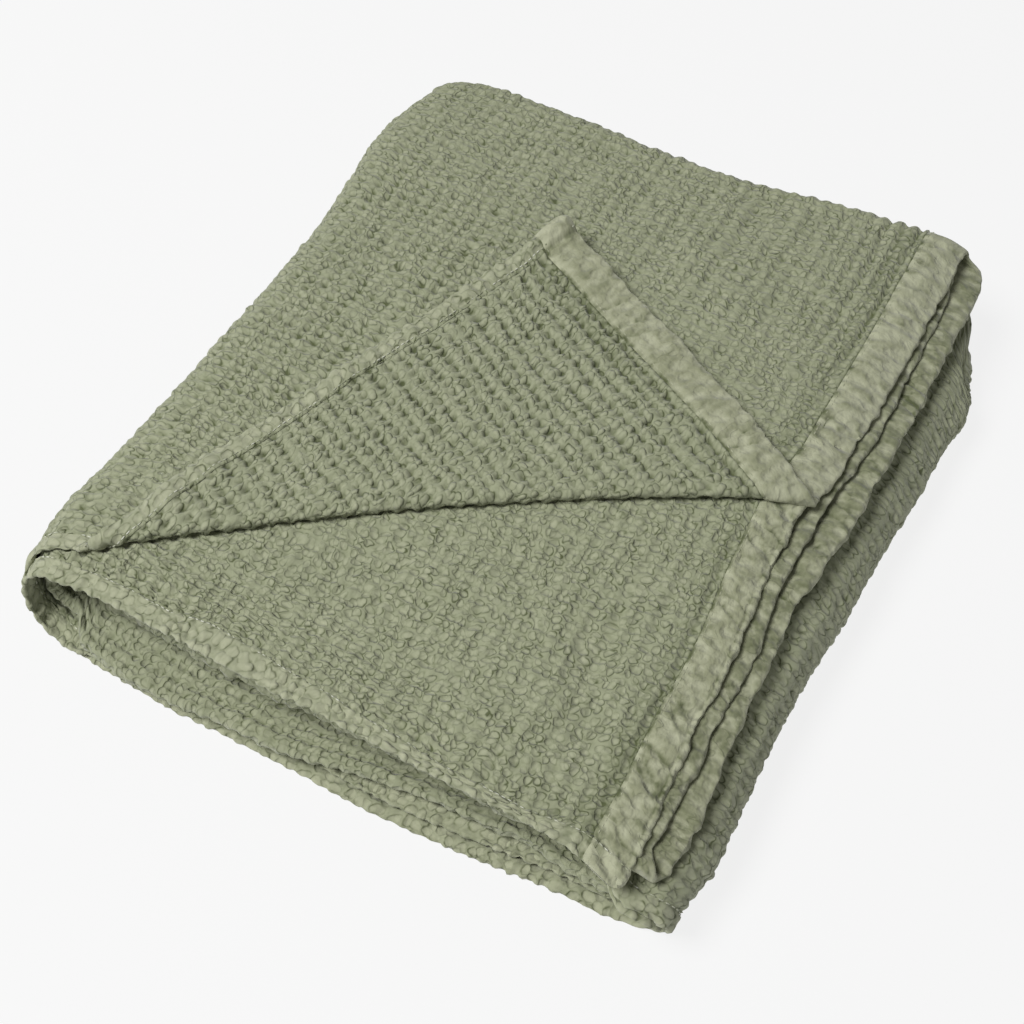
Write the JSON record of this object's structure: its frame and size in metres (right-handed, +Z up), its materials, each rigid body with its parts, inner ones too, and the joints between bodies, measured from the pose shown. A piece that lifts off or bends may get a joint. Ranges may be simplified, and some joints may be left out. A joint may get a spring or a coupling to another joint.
{
  "type": "folded waffle weave cotton blanket",
  "caption": "Waffle weave cotton blanket folded into a low rectangular stack, with smooth bound ends and one corner of the top layer turned back.",
  "frame": {"origin": "centre of the stack's footprint, on the surface that it rests on", "axes": "+X across the stack from the wrapped side to the side with the bound end, +Y along it from the hem side to the folded side, +Z up"},
  "size_m": [0.5344, 0.5941, 0.1067],
  "materials": {
    "waffle_cotton": "garment-washed sage green waffle weave cotton, matt, puckered into soft bubbles",
    "plain_cotton": "garment-washed sage green plain weave cotton, matt, softly creased"
  },
  "bodies": {
    "root": {"blanket_cloth": "waffle_cotton", "outer_end_binding": "plain_cotton", "inner_end_binding": "plain_cotton"}
  },
  "joints": []
}
